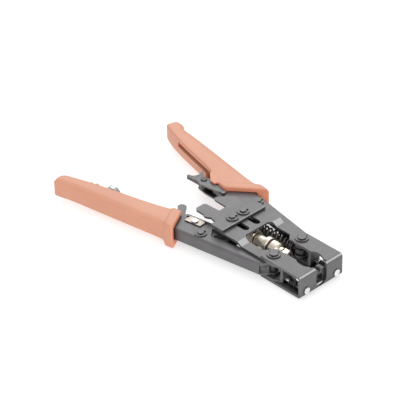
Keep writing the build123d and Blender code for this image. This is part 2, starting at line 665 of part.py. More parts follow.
# Grips: hollow mouldings over the levers' tails, with a flange round the mouth
MOUTH = {"near": ((81.3, -6.6), (74.0, 14.2)), "far": ((81.5, -7.6), (61.4, 15.9))}
GRIP_END = {"near": (178.6, 14.9), "far": (175.6, 15.5)}
FLANGE_DEPTH = 4.0
TAPER_DEPTH = 4.0
SLOT_START_S = 113.0
SLOT_END_S = 153.0
SLOT_LOW = 0.9
SLOT_HIGH = 5.4
for side, name in SIDES:
    inner, outer = [Vector(*on_lever(side, *corner), MID) for corner in MOUTH[name]]
    across = (outer - inner).normalized()
    rearward = across.cross(Vector(0, 0, -side)).normalized()
    mouth = Plane(origin=(inner + outer) * 0.5, x_dir=across, z_dir=rearward)
    mouth_width = (outer - inner).length
    tail = LEVER_TAIL_S[name]
    end, bulge_w = GRIP_END[name]
    # the lever's plane faces down on the far side, so its levels change sign there
    flip = -side
    with BuildPart() as grip:
        with BuildSketch(lever_plane(side).offset(flip * (GRIP_TOP + GRIP_BOTTOM) / 2)):
            with BuildLine():
                Line((84.0, GRIP_OUT_W), (end - 20, GRIP_OUT_W))
                Spline((end - 20, GRIP_OUT_W), (end - 12, 14.2), (end - 6, bulge_w), tangents=((1, 0), (1, 0)))
                Spline((end - 6, bulge_w), (end - 1, 13.2), (end, 9.0), (end - 1.4, 5.6), (end - 5, 4.0))
                Spline((end - 5, 4.0), (147.0, 0.5), (130.0, -0.8), (113.0, -2.2), (100.0, -3.6), (84.0, -5.4))
                Line((84.0, -5.4), (84.0, GRIP_OUT_W))
            make_face()
        extrude(amount=(GRIP_TOP - GRIP_BOTTOM) / 2, both=True)
        fillet(grip.faces().filter_by(Plane.XY).edges(), 1.8)
        middle = (FLANGE_TOP + FLANGE_BOTTOM) / 2
        height = FLANGE_TOP - FLANGE_BOTTOM
        with BuildSketch(mouth):
            with Locations((0, flip * middle)):
                RectangleRounded(mouth_width, height, 3.0)
        with BuildSketch(mouth.offset(FLANGE_DEPTH)):
            with Locations((0, flip * middle)):
                RectangleRounded(mouth_width, height, 3.0)
        loft()
        with BuildSketch(mouth.offset(FLANGE_DEPTH)):
            with Locations((0, flip * middle)):
                RectangleRounded(mouth_width - 0.6, height - 0.6, 2.8)
        with BuildSketch(mouth.offset(FLANGE_DEPTH + TAPER_DEPTH)):
            with Locations((0, flip * (GRIP_TOP + GRIP_BOTTOM) / 2)):
                RectangleRounded(mouth_width - 4.0, GRIP_TOP - GRIP_BOTTOM - 0.3, 1.8)
        loft()
        # pocket for the lever
        with BuildSketch(lever_plane(side)):
            with BuildLine():
                Polyline(
                    (50.0, -4.4),
                    (83.0, -4.4),
                    (100.0, -2.1),
                    (tail + 0.3, 2.4),
                    (tail + 0.3, WEB_W + 0.1),
                    (50.0, WEB_W + 0.1),
                    close=True,
                )
            make_face()
        extrude(amount=LEVER_OUT + 0.1, both=True, mode=Mode.SUBTRACT)
        if name == "near":
            # slit for the lock tab, and sockets for the two spare adapters
            with BuildSketch(lever_plane(side)):
                with Locations((89.0, -6.0)):
                    Rectangle(11.0, 12.0)
            extrude(amount=TAB_HALF + 0.2, both=True, mode=Mode.SUBTRACT)
            for spot_s, socket_r in ADAPTER_SOCKETS:
                with BuildSketch(inward_plane(side, spot_s).offset(-6.0)):
                    Circle(socket_r)
                extrude(amount=20, mode=Mode.SUBTRACT)
        else:
            # slit that the lock tab enters when the tool closes
            with BuildSketch(lever_plane(side)):
                with Locations((88.0, -6.5)):
                    Rectangle(10.0, 8.0)
            extrude(amount=TAB_HALF + 0.4, both=True, mode=Mode.SUBTRACT)
            # slot along the upper part of the inner side, and a wider recess where the latch works
            with BuildSketch(lever_plane(side).offset(-SLOT_HIGH)):
                with Locations(((SLOT_START_S + SLOT_END_S) / 2, -4.0)):
                    Rectangle(SLOT_END_S - SLOT_START_S, 13.0)
            extrude(amount=SLOT_HIGH - SLOT_LOW, mode=Mode.SUBTRACT)
            with BuildSketch(lever_plane(side)):
                with BuildLine():
                    Polyline(
                        (91.0, -9.0),
                        (92.5, -2.2),
                        (113.0, -0.6),
                        (115.0, -9.0),
                        close=True,
                    )
                make_face()
            extrude(amount=LEVER_OUT + 0.1, both=True, mode=Mode.SUBTRACT)
    save(grip.part, f"grip_{name}")

# Latch on the far lever: two fixed plates, the upper one on the lever's ear, and a thumb piece between them.
# Levels are from the mid-plane, and the lever's plane faces down on this side.
UPPER_THICKNESS = 1.3
LOWER_THICKNESS = 1.2
PLATE_TOP = LEVER_OUT + UPPER_THICKNESS
THUMB_TOP = LEVER_OUT - 0.1
THUMB_BOTTOM = -0.8
THUMB_THICKNESS = 2.8
PLATE_BOTTOM = THUMB_BOTTOM - LOWER_THICKNESS - 0.1
RIB_S = 85.4
RIB_W = -11.0
RIB_LENGTH = 8.4
RIB_WIDTH = 1.4
RIB_LOW = 1.1
for_far = lever_plane(1)
UPPER_PLATE = [
    *((76.6, -8.4), (80.5, -7.4), (97.0, -8.8), (105.0, -11.6)),
    *((103.6, -15.8), (96.5, -17.0), (83.0, -12.6)),
]
LOWER_PLATE = [
    *((76.6, -8.8), (80.5, -8.4), (97.0, -9.0), (104.6, -11.4)),
    *((103.2, -15.0), (94.5, -15.0), (77.6, -12.2)),
]
with BuildPart() as latch_plates:
    for outline, top, thickness in (
        (UPPER_PLATE, PLATE_TOP, UPPER_THICKNESS),
        (LOWER_PLATE, PLATE_BOTTOM + LOWER_THICKNESS, LOWER_THICKNESS),
    ):
        with BuildSketch(for_far.offset(-top)):
            with BuildLine():
                FilletPolyline(*outline, close=True, radius=1.0)
            make_face()
            with Locations(LATCH_PIN):
                Circle(LATCH_PIN_R, mode=Mode.SUBTRACT)
            with Locations(RIVET_SPOT["far"]):
                Circle(RIVET_R, mode=Mode.SUBTRACT)
        extrude(amount=thickness)
    # rib under the upper plate, clear of the lock tab below it
    with BuildSketch(for_far.offset(-LEVER_OUT)):
        with Locations((RIB_S, RIB_W)):
            Rectangle(RIB_LENGTH, RIB_WIDTH)
    extrude(amount=LEVER_OUT - RIB_LOW)
save(latch_plates.part, "latch_plates")

for name, spot, radius, head in (
    ("latch_pin", LATCH_PIN, LATCH_PIN_R, 2.3),
    ("latch_rivet", RIVET_SPOT["far"], RIVET_R, 1.5),
):
    with BuildPart() as fastener:
        disc(on_lever(1, *spot), PLATE_BOTTOM, PLATE_TOP, radius)
        disc(on_lever(1, *spot), PLATE_BOTTOM - 0.6, PLATE_BOTTOM, head)
        disc(on_lever(1, *spot), PLATE_TOP, PLATE_TOP + 0.7, head)
    save(fastener.part, name)

with BuildPart() as latch_thumb:
    for bottom, tail_end in ((THUMB_TOP - THUMB_THICKNESS, True), (THUMB_BOTTOM, False)):
        with BuildSketch(for_far.offset(-THUMB_TOP)):
            with BuildLine():
                if tail_end:
                    Polyline((97.0, -13.6), (102.0, -15.6), (112.0, -17.6))
                    ThreePointArc((112.0, -17.6), (113.7, -16.9), (112.8, -15.6))
                    Spline((112.8, -15.6), (110.4, -14.2), (109.6, -9.6), (112.2, -6.0))
                    ThreePointArc((112.2, -6.0), (111.6, -5.0), (110.4, -5.4))
                    Polyline((110.4, -5.4), (103.5, -8.6))
                else:
                    Polyline((97.0, -13.6), (102.0, -15.2), (105.5, -12.5), (103.5, -8.6))
                Polyline((103.5, -8.6), (97.2, -4.0), (95.5, -4.0), (95.5, -5.6), (97.0, -13.6))
            make_face()
            with Locations(LATCH_PIN):
                Circle(3.2)
                Circle(LATCH_PIN_R + FIT, mode=Mode.SUBTRACT)
        extrude(amount=THUMB_TOP - bottom)
save(latch_thumb.part, "latch_thumb")

# Lock tab, clip plate and rivet on the near lever. The tab's hook leaves room for the latch's nose to swing.
for_near = lever_plane(-1)
nose_centre = seen_when_closed(*LATCH_PIN)
HOOK_CLEARANCE = 0.3
hook_edge = []
for swing in (radians(50), radians(38), radians(26)):
    reach = LATCH_REACH + HOOK_CLEARANCE
    hook_edge.append((nose_centre[0] - reach * cos(swing), nose_centre[1] - reach * sin(swing)))
with BuildPart() as lock_tab:
    with BuildSketch(for_near):
        with BuildLine():
            Polyline(
                (83.4, WEB_W - INNER_SHEET),
                (83.4, -12.6),
                (87.6, -19.8),
            )
            ThreePointArc((87.6, -19.8), (91.2, -22.0), hook_edge[0])
            ThreePointArc(*hook_edge)
            Polyline(
                hook_edge[2],
                (90.0, -10.0),
                (93.0, -4.0),
                (93.0, WEB_W - INNER_SHEET),
                (83.4, WEB_W - INNER_SHEET),
            )
        make_face()
    extrude(amount=TAB_HALF, both=True)
save(lock_tab.part, "lock_tab")

CLIP_PLATE_T = 0.9
with BuildPart() as clip_plate:
    with BuildSketch(for_near.offset(LEVER_OUT)):
        with BuildLine():
            FilletPolyline(
                (61.6, -8.2),
                (74.4, -7.6),
                (75.6, -1.4),
                (62.0, -1.4),
                close=True,
                radius=0.8,
            )
        make_face()
        with Locations(RIVET_SPOT["near"]):
            Circle(RIVET_R, mode=Mode.SUBTRACT)
    extrude(amount=CLIP_PLATE_T)
save(clip_plate.part, "clip_plate")

with BuildPart() as clip_rivet:
    disc(on_lever(-1, *RIVET_SPOT["near"]), LEVER_IN, LEVER_OUT + CLIP_PLATE_T, RIVET_R)
    disc(on_lever(-1, *RIVET_SPOT["near"]), LEVER_OUT + CLIP_PLATE_T, LEVER_OUT + CLIP_PLATE_T + 0.8, 2.4)
    disc(on_lever(-1, *RIVET_SPOT["near"]), LEVER_IN - 0.7, LEVER_IN, 2.2)
save(clip_rivet.part, "clip_rivet")

# Spare adapters, pushed into the near grip from its inner side: (start, end, radius) from the lever's line
ADAPTER_STEPS = {
    "large": [(-5.8, 0.6, ADAPTER_SOCKETS[0][1]), (0.6, 2.4, 5.5), (2.4, 3.2, 4.9), (3.2, 7.0, 5.5)],
    "small": [(-5.4, -0.8, ADAPTER_SOCKETS[1][1]), (-0.8, 3.2, 4.9), (3.2, 4.0, 4.4)],
}
for (label, steps), (spot_s, _) in zip(ADAPTER_STEPS.items(), ADAPTER_SOCKETS):
    with BuildPart() as adapter:
        for start, end, radius in steps:
            with BuildSketch(inward_plane(-1, spot_s).offset(start)):
                Circle(radius)
            extrude(amount=end - start)
        with BuildSketch(inward_plane(-1, spot_s).offset(steps[-1][1])):
            Circle(steps[-1][2] - 1.2)
        extrude(amount=-5, mode=Mode.SUBTRACT)
    save(adapter.part, f"spare_adapter_{label}")
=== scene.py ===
import json
import math

import bmesh
import bpy
from mathutils import Matrix, Vector


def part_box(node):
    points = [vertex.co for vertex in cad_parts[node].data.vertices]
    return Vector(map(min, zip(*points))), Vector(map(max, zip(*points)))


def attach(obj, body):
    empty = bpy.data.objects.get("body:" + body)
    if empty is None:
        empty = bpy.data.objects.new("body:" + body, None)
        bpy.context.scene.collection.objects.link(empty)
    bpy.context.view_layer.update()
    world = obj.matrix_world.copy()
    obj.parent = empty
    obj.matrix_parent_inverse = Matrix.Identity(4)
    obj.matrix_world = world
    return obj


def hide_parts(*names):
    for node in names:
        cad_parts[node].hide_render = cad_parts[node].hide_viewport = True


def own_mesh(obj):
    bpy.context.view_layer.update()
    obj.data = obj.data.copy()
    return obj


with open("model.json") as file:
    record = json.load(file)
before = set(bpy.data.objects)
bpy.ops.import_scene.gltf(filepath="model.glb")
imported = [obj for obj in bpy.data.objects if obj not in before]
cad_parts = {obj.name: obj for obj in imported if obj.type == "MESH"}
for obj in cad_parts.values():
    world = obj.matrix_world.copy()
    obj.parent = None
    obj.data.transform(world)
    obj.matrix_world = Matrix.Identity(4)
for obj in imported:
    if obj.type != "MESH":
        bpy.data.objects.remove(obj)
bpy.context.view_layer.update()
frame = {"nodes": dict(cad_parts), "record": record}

MM = 0.001
HEAD_LOW, HEAD_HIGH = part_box("head_bracket")
FRONT_X = HEAD_HIGH.x
MID = (HEAD_LOW.z + HEAD_HIGH.z) / 2

# Camera and stage
AZIMUTH = math.radians(47.20)
ELEVATION = math.radians(34.06)
ROLL = math.radians(-1.22)
DISTANCE = 1.3713
AIM = Vector((FRONT_X - 0.10816, -0.00745, 0.02262))
LENS = 180
SENSOR_WIDTH = 36
CLIP_START = 0.05
CLIP_END = 50
FLOOR_Z = -0.0001
FLOOR_RADIUS = 12
DOME_STRENGTH = 0.6

# Softboxes: place and size in metres, power in watts, each facing the tool
SOFTBOXES = {
    "top_softbox": ((-0.1, 0.1, 1.1), 1.1, 2.5),
    "front_softbox": ((1.2, -0.3, 0.7), 0.8, 4.5),
    "side_softbox": ((0.2, -0.95, 0.85), 0.8, 4.2),
    "back_softbox": ((-0.7, 0.65, 0.65), 0.7, 4.5),
}


def link(obj):
    """Put an object in the scene."""
    bpy.context.scene.collection.objects.link(obj)
    return obj


def mesh_object(name, bm, smooth=True):
    """A new object from a bmesh."""
    mesh = bpy.data.meshes.new(name)
    bm.to_mesh(mesh)
    bm.free()
    for face in mesh.polygons:
        face.use_smooth = smooth
    return link(bpy.data.objects.new(name, mesh))


def make_camera():
    """A long lens at three-quarter view, from the near front and above."""
    across = Vector((math.cos(AZIMUTH), math.sin(AZIMUTH), 0))
    back = Vector(
        (
            math.sin(AZIMUTH) * math.cos(ELEVATION),
            -math.cos(AZIMUTH) * math.cos(ELEVATION),
            math.sin(ELEVATION),
        )
    )
    up = back.cross(across)
    right = math.cos(ROLL) * across + math.sin(ROLL) * up
    up = math.cos(ROLL) * up - math.sin(ROLL) * across
    data = bpy.data.cameras.new("camera")
    data.lens = LENS
    data.sensor_width = SENSOR_WIDTH
    data.clip_start = CLIP_START
    data.clip_end = CLIP_END
    camera = link(bpy.data.objects.new("camera", data))
    turn = Matrix((right, up, back)).transposed().to_4x4()
    camera.matrix_world = Matrix.Translation(AIM + back * DISTANCE) @ turn
    bpy.context.scene.camera = camera


def area_light(name, spot, size, power):
    """A square softbox that faces the middle of the tool."""
    data = bpy.data.lights.new(name, "AREA")
    data.shape = "SQUARE"
    data.size = size
    data.energy = power
    light = link(bpy.data.objects.new(name, data))
    light.location = spot
    light.rotation_mode = "QUATERNION"
    light.rotation_quaternion = (-Vector(spot)).to_track_quat("-Z", "Y")


def make_studio():
    """Light dome, softboxes and a pale floor."""
    world = bpy.data.worlds.new("studio")
    bpy.context.scene.world = world
    world.use_nodes = True
    dome = world.node_tree.nodes["Background"]
    dome.inputs["Color"].default_value = (1.0, 0.99, 0.98, 1)
    dome.inputs["Strength"].default_value = DOME_STRENGTH
    for name, (spot, size, power) in SOFTBOXES.items():
        area_light(name, spot, size, power)

    bm = bmesh.new()
    bmesh.ops.create_circle(bm, cap_ends=True, segments=96, radius=FLOOR_RADIUS)
    floor = mesh_object("floor", bm, smooth=False)
    floor.location.z = FLOOR_Z
    tree, shader = new_material("pale_floor")
    grain = noise(tree, 12, detail=3)
    tone = ramp(tree, grain, (0.3, (0.50, 0.50, 0.50)), (0.7, (0.53, 0.53, 0.53)))
    tree.links.new(tone, shader.inputs["Base Color"])
    tree.links.new(tone, shader.inputs["Emission Color"])
    shader.inputs["Emission Strength"].default_value = 1.15
    shader.inputs["Roughness"].default_value = 0.9
    shader.inputs["Specular IOR Level"].default_value = 0.2
    floor.data.materials.append(bpy.data.materials["pale_floor"])


# Material building blocks
def new_material(name):
    """A node material, and its shader node."""
    material = bpy.data.materials.new(name)
    material.use_nodes = True
    tree = material.node_tree
    return tree, tree.nodes["Principled BSDF"]


def object_coords(tree, stretch=(1, 1, 1)):
    """Coordinates fixed to the piece, in metres."""
    source = tree.nodes.new("ShaderNodeTexCoord")
    mapping = tree.nodes.new("ShaderNodeMapping")
    mapping.inputs["Scale"].default_value = stretch
    tree.links.new(source.outputs["Object"], mapping.inputs["Vector"])
    return mapping.outputs["Vector"]


def noise(tree, scale, detail=4.0, roughness=0.5, stretch=(1, 1, 1)):
    """Fractal noise, with its scale in cycles per metre."""
    node = tree.nodes.new("ShaderNodeTexNoise")
    node.inputs["Scale"].default_value = scale
    node.inputs["Detail"].default_value = detail
    node.inputs["Roughness"].default_value = roughness
    tree.links.new(object_coords(tree, stretch), node.inputs["Vector"])
    return node.outputs["Fac"]


def ramp(tree, value, *stops):
    """Colours along a value: each stop is (position, grey or colour)."""
    node = tree.nodes.new("ShaderNodeValToRGB")
    elements = node.color_ramp.elements
    while len(elements) < len(stops):
        elements.new(0.5)
    for element, (position, colour) in zip(elements, stops):
        element.position = position
        element.color = (*colour, 1) if isinstance(colour, tuple) else (colour, colour, colour, 1)
    tree.links.new(value, node.inputs["Fac"])
    return node.outputs["Color"]


def mix(tree, factor, first, second, blend_type="MIX"):
    """Mix of two colours, each a socket or a plain colour."""
    node = tree.nodes.new("ShaderNodeMix")
    node.data_type = "RGBA"
    node.blend_type = blend_type
    for value, socket in ((factor, node.inputs[0]), (first, node.inputs[6]), (second, node.inputs[7])):
        if isinstance(value, bpy.types.NodeSocket):
            tree.links.new(value, socket)
        elif isinstance(value, tuple):
            socket.default_value = (*value, 1)
        else:
            socket.default_value = value
    return node.outputs[2]


def math_node(tree, operation, first, second):
    """One arithmetic step on two values."""
    node = tree.nodes.new("ShaderNodeMath")
    node.operation = operation
    for value, socket in zip((first, second), node.inputs):
        if isinstance(value, bpy.types.NodeSocket):
            tree.links.new(value, socket)
        else:
            socket.default_value = value
    return node.outputs[0]


def bump(tree, shader, height, distance, strength=1.0):
    """Surface relief from a height, with its depth in metres."""
    node = tree.nodes.new("ShaderNodeBump")
    node.inputs["Distance"].default_value = distance
    node.inputs["Strength"].default_value = strength
    tree.links.new(height, node.inputs["Height"])
    tree.links.new(node.outputs["Normal"], shader.inputs["Normal"])


def convex_edges(tree, reach):
    """Mask that is bright along convex edges, out to a reach in metres."""
    node = tree.nodes.new("ShaderNodeAmbientOcclusion")
    node.inside = True
    node.only_local = True
    node.samples = 6
    node.inputs["Distance"].default_value = reach
    return math_node(tree, "SUBTRACT", 1.0, node.outputs["AO"])


def crevices(tree, reach):
    """Mask that is bright in the open and dark in hollows, out to a reach in metres."""
    node = tree.nodes.new("ShaderNodeAmbientOcclusion")
    node.samples = 8
    node.inputs["Distance"].default_value = reach
    return node.outputs["AO"]


def facing(tree, direction, start, full):
    """Mask of the faces that look along a direction fixed to the piece."""
    source = tree.nodes.new("ShaderNodeNewGeometry")
    turn = tree.nodes.new("ShaderNodeVectorTransform")
    turn.vector_type = "NORMAL"
    turn.convert_from = "WORLD"
    turn.convert_to = "OBJECT"
    dot = tree.nodes.new("ShaderNodeVectorMath")
    dot.operation = "DOT_PRODUCT"
    tree.links.new(source.outputs["True Normal"], turn.inputs[0])
    tree.links.new(turn.outputs[0], dot.inputs[0])
    dot.inputs[1].default_value = Vector(direction).normalized()
    return ramp(tree, dot.outputs["Value"], (start, 0.0), (full, 1.0))


# Tones of the black coat: its convex edges, lighter with wear and with a painted highlight, and its
# sloped bends, lighter with a painted highlight on the faces that look along the given direction
EDGE_WEAR_AND_HIGHLIGHT_TONE = (0.42, 0.42, 0.43)
BEND_HIGHLIGHT_TONE = (0.46, 0.46, 0.47)
BEND_HIGHLIGHT_DIRECTION = (0.62, 0, 0.78)


def black_coat(name, tone, roughness):
    """Satin black coat on sheet steel: fine grain, clouding, painted shade in hollows, edges lighter with
    wear and a painted highlight, and a painted highlight on the bends.
    """
    tree, shader = new_material(name)
    cloud = noise(tree, 90, detail=5, roughness=0.6)
    dark = tuple(c * 0.92 for c in tone)
    light = tuple(c * 1.10 for c in tone)
    coat = ramp(tree, cloud, (0.35, dark), (0.65, light))
    # painted shade: the coat is darkened in its hollows, out to 12 mm
    painted_coat_shade = ramp(tree, crevices(tree, 12 * MM), (0.3, 0.06), (0.9, 1.0))
    coat = mix(tree, 1.0, coat, painted_coat_shade, "MULTIPLY")
    # convex edges made lighter: partly wear of the coat, partly a painted highlight
    edge_wear_and_highlight = math_node(tree, "MULTIPLY", convex_edges(tree, 0.45 * MM), noise(tree, 700, detail=2))
    coat_with_edge_wear_and_highlight = mix(tree, ramp(tree, edge_wear_and_highlight, (0.10, 0.0), (0.45, 0.75)), coat, EDGE_WEAR_AND_HIGHLIGHT_TONE)
    # painted highlight: faces that look along the bend direction are made lighter
    painted_bend_highlight = mix(tree, facing(tree, BEND_HIGHLIGHT_DIRECTION, 0.93, 0.97), coat_with_edge_wear_and_highlight, BEND_HIGHLIGHT_TONE)
    tree.links.new(painted_bend_highlight, shader.inputs["Base Color"])
    speckle = noise(tree, 2600, detail=3, roughness=0.7)
    gloss = ramp(tree, speckle, (0.3, roughness - 0.06), (0.7, roughness + 0.08))
    tree.links.new(gloss, shader.inputs["Roughness"])
    shader.inputs["Specular IOR Level"].default_value = 0.6
    bump(tree, shader, speckle, 0.02 * MM, 0.35)
    return bpy.data.materials[name]


def make_materials():
    """One material for each finish on the tool."""
    return {
        "black_steel": black_coat("black_steel_coat", (0.098, 0.094, 0.099), 0.40),
        "dark_steel": black_coat("dark_steel_coat", (0.055, 0.05, 0.052), 0.36),
        "bright_steel": plated("bright_zinc", (0.80, 0.79, 0.78), 0.3),
        "dull_zinc": plated("dull_zinc", (0.33, 0.30, 0.27), 0.36),
        "spring_wire": plated("spring_wire", (0.11, 0.10, 0.10), 0.5),
        "nickel": plated("warm_nickel", (0.74, 0.66, 0.56), 0.30),
        "pale_zinc": plated("pale_zinc", (0.56, 0.56, 0.57), 0.4),
        "brass": plated("pale_brass", (0.62, 0.52, 0.40), 0.36),
        "orange_grip": vinyl("orange_vinyl"),
        "black_rubber": rubber("ring_rubber"),
    }


def plated(name, tone, roughness):
    """Bare or plated metal: fine turning marks, slight smudges and painted shade in hollows."""
    tree, shader = new_material(name)
    smudge = noise(tree, 260, detail=4)
    plain = ramp(tree, smudge, (0.3, tuple(c * 0.9 for c in tone)), (0.7, tone))
    # painted shade: the metal is darkened in its hollows, out to 3 mm
    painted_metal_shade = ramp(tree, crevices(tree, 3 * MM), (0.2, 0.15), (0.8, 1.0))
    tree.links.new(mix(tree, 1.0, plain, painted_metal_shade, "MULTIPLY"), shader.inputs["Base Color"])
    shader.inputs["Metallic"].default_value = 1.0
    lines = noise(tree, 5200, detail=1, stretch=(1, 0.04, 0.04))
    gloss = ramp(tree, lines, (0.3, roughness - 0.05), (0.7, roughness + 0.09))
    tree.links.new(gloss, shader.inputs["Roughness"])
    bump(tree, shader, lines, 0.01 * MM, 0.3)
    return bpy.data.materials[name]


# Painted tones of the orange moulding: painted shading on its front faces, painted shade in its hollows
# and painted highlights on its convex edges
FRONT_SHADING_TONE = (0.90, 0.34, 0.20)
HOLLOW_SHADE_TONE = (0.80, 0.11, 0.06)
EDGE_HIGHLIGHT_TONE = (0.90, 0.32, 0.19)


def vinyl(name):
    """Soft orange moulding: fine grain, slight mottling, painted shading on the fronts, painted shade in
    the hollows and painted highlights on the edges.
    """
    tree, shader = new_material(name)
    mottle = noise(tree, 45, detail=5, roughness=0.55)
    tone = ramp(tree, mottle, (0.3, (0.60, 0.272, 0.172)), (0.7, (0.63, 0.296, 0.19)))
    # painted shading: faces that look forward are made lighter and redder
    tone = mix(tree, facing(tree, (1, 0, 0), 0.35, 0.75), tone, FRONT_SHADING_TONE)
    # painted shade: the hollows are made darker and redder, out to 4 mm
    hollow = ramp(tree, crevices(tree, 4 * MM), (0.1, 1.0), (0.7, 0.0))
    tone = mix(tree, hollow, tone, HOLLOW_SHADE_TONE)
    # painted highlight: the convex edges are made lighter
    edges = ramp(tree, convex_edges(tree, 0.6 * MM), (0.15, 0.0), (0.5, 0.55))
    tone = mix(tree, edges, tone, EDGE_HIGHLIGHT_TONE)
    tree.links.new(tone, shader.inputs["Base Color"])
    grain = noise(tree, 2400, detail=2)
    tree.links.new(ramp(tree, grain, (0.3, 0.42), (0.7, 0.55)), shader.inputs["Roughness"])
    bump(tree, shader, grain, 0.03 * MM, 0.3)
    return bpy.data.materials[name]


def rubber(name):
    """Matt black rubber with a dusty bloom."""
    tree, shader = new_material(name)
    bloom = noise(tree, 900, detail=4)
    tree.links.new(ramp(tree, bloom, (0.3, 0.015), (0.75, 0.04)), shader.inputs["Base Color"])
    tree.links.new(ramp(tree, bloom, (0.3, 0.55), (0.7, 0.75)), shader.inputs["Roughness"])
    bump(tree, shader, bloom, 0.02 * MM, 0.4)
    return bpy.data.materials[name]


# Bevels of the CAD pieces' sharp edges, in metres
EDGE = {
    "head_bracket": 0.25 * MM,
    "inner_bracket": 0.2 * MM,
    "slider_bar": 0.3 * MM,
    "lever_near": 0.25 * MM,
    "lever_far": 0.25 * MM,
}
SMALL_EDGE = 0.12 * MM
SHARP_ANGLE = math.radians(24)
WELD_REACH = 0.002 * MM

# Pieces whose finish differs from the rest of their material slot
OWN_FINISH = {
    "jaw_spring_near": "spring_wire",
    "jaw_spring_far": "spring_wire",
    "clip_plate": "dull_zinc",
    "clip_rivet": "pale_zinc",
    "spare_adapter_large": "pale_zinc",
    "latch_thumb": "dark_steel",
    "link_near": "dark_steel",
    "link_far": "dark_steel",
    "slider_block": "dark_steel",
    "guide_rod": "dark_steel",
    "pivot_clips": "dark_steel",
    "slider_clips": "dark_steel",
    "link_clip_near": "dark_steel",
    "link_clip_far": "dark_steel",
    "latch_pin": "spring_wire",
    "plunger_tip": "nickel",
}


def soften(node, width):
    """Round the sharp edges of a CAD piece with modifiers, leaving its mesh as it is."""
    weld = node.modifiers.new("weld", "WELD")
    weld.merge_threshold = WELD_REACH
    flat = node.modifiers.new("flat", "DECIMATE")
    flat.decimate_type = "DISSOLVE"
    flat.angle_limit = math.radians(0.5)
    bevel = node.modifiers.new("bevel", "BEVEL")
    bevel.width = width
    bevel.segments = 2
    bevel.limit_method = "ANGLE"
    bevel.angle_limit = SHARP_ANGLE
    normals = node.modifiers.new("normals", "WEIGHTED_NORMAL")
    normals.keep_sharp = False


def dress_cad(finishes):
    """Give each CAD piece its finish and soft edges."""
    slots = {part["node"]: part["material_slot"] for part in frame["record"]["subparts"]}
    for name, node in frame["nodes"].items():
        node.data.materials.clear()
        node.data.materials.append(finishes[OWN_FINISH.get(name, slots[name])])
        for face in node.data.polygons:
            face.use_smooth = True
        soften(node, EDGE.get(name, SMALL_EDGE))


# Levers: s runs back along a lever from its pivot, w outward from its line, both in millimetres
PIVOT_LOW, PIVOT_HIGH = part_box("pivot_pins")
PIVOT_X = (PIVOT_LOW.x + PIVOT_HIGH.x) / 2
PIVOT_Y = 13.3 * MM
OPEN_ANGLE = math.radians(9.8)


def on_lever(side, s, w, level=0.0):
    """A point along and across one lever, at a level from the mid-plane."""
    along = (s * math.cos(OPEN_ANGLE) - w * math.sin(OPEN_ANGLE)) * MM
    across = (s * math.sin(OPEN_ANGLE) + w * math.cos(OPEN_ANGLE)) * MM
    return Vector((PIVOT_X - along, side * (PIVOT_Y + across), MID + level * MM))


def rounded_ring(corners, steps=5):
    """Points round a closed outline whose corners are (x, y, radius)."""
    points = []
    for index, (x, y, radius) in enumerate(corners):
        corner = Vector((x, y))
        before = Vector(corners[index - 1][:2]) - corner
        after = Vector(corners[(index + 1) % len(corners)][:2]) - corner
        start = corner + before.normalized() * min(radius, before.length * 0.45)
        end = corner + after.normalized() * min(radius, after.length * 0.45)
        for step in range(steps):
            t = step / (steps - 1)
            points.append(start.lerp(corner, t).lerp(corner.lerp(end, t), t))
    return points


